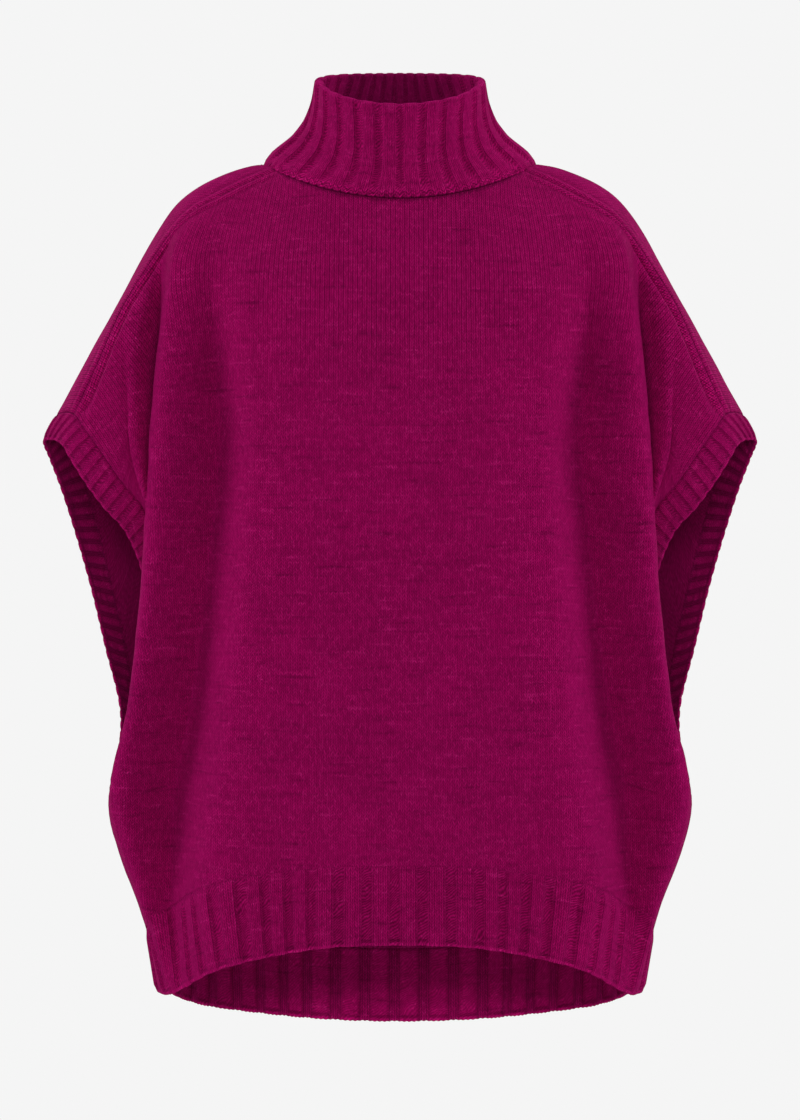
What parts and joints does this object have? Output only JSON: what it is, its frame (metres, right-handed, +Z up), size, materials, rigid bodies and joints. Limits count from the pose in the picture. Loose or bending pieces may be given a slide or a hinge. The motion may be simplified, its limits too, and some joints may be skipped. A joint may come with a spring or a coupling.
{
  "type": "turtleneck sweater vest",
  "caption": "Hollow worn-form knitted poncho vest with a tall ribbed funnel collar, ribbed armholes and a ribbed step hem.",
  "frame": {"origin": "middle of the neck opening, level with the two side neck points, where the garment hangs on the wearer's shoulders", "axes": "+Z up, +Y from the chest towards the back, +X towards the wearer's left"},
  "size_m": [0.6706, 0.299, 0.909],
  "materials": {
    "jersey": "soft heathered wool stockinette, matt",
    "rib": "soft heathered wool rib, matt"
  },
  "bodies": {
    "root": {"front_panel": "jersey", "back_panel": "jersey", "front_hem_rib": "rib", "back_hem_rib": "rib", "left_armhole_rib": "rib", "right_armhole_rib": "rib", "collar": "rib"}
  },
  "joints": []
}
